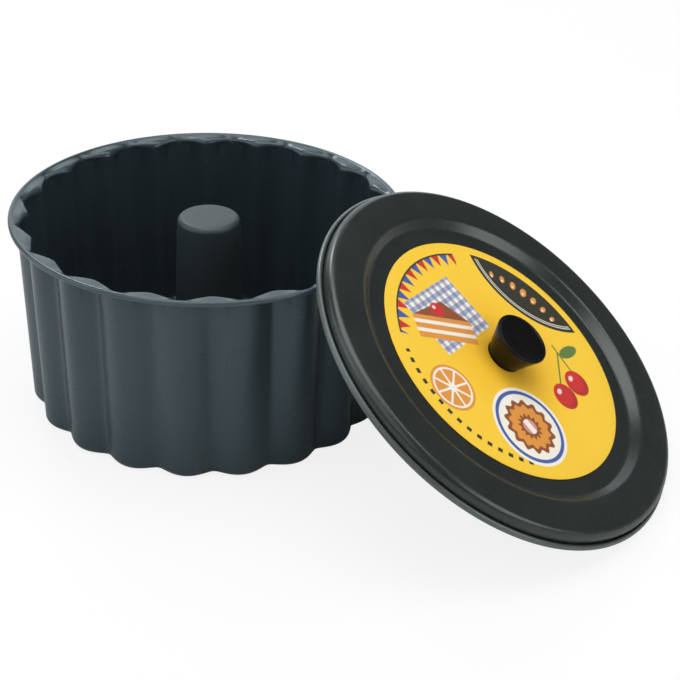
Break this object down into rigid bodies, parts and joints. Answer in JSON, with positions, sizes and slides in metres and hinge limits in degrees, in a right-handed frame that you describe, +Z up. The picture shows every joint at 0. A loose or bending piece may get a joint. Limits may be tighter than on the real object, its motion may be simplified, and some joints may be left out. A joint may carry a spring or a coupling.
{
  "type": "pudding mould",
  "caption": "Fluted steel pudding mould with a closed chimney in the middle and a curled rim; its knobbed lid leans on the rim and lifts away.",
  "frame": {"origin": "centre of the footprint of mould and leaning lid, on the table", "axes": "+Z up, +X from the mould towards the leaning lid"},
  "size_m": [0.2868, 0.1714, 0.0989],
  "materials": {
    "mould_coating": "satin non-stick coating on steel sheet",
    "lid_coating": "satin non-stick coating on steel sheet",
    "phenolic": "black phenolic",
    "brass": "turned",
    "steel": "zinc plated",
    "label_card": "printed card"
  },
  "bodies": {
    "mould": {"mould_body": "mould_coating", "chimney": "mould_coating"},
    "lid": {"lid_pan": "lid_coating", "lid_knob": "phenolic", "knob_insert": "brass", "knob_screw": "steel", "knob_washer": "steel", "lid_label": "label_card"}
  },
  "joints": [
    {"name": "lid_lift", "type": "slide", "parent": "mould", "child": "lid", "axis": [0.5572, 0, 0.8304], "range_m": [0, 0.15]}
  ]
}
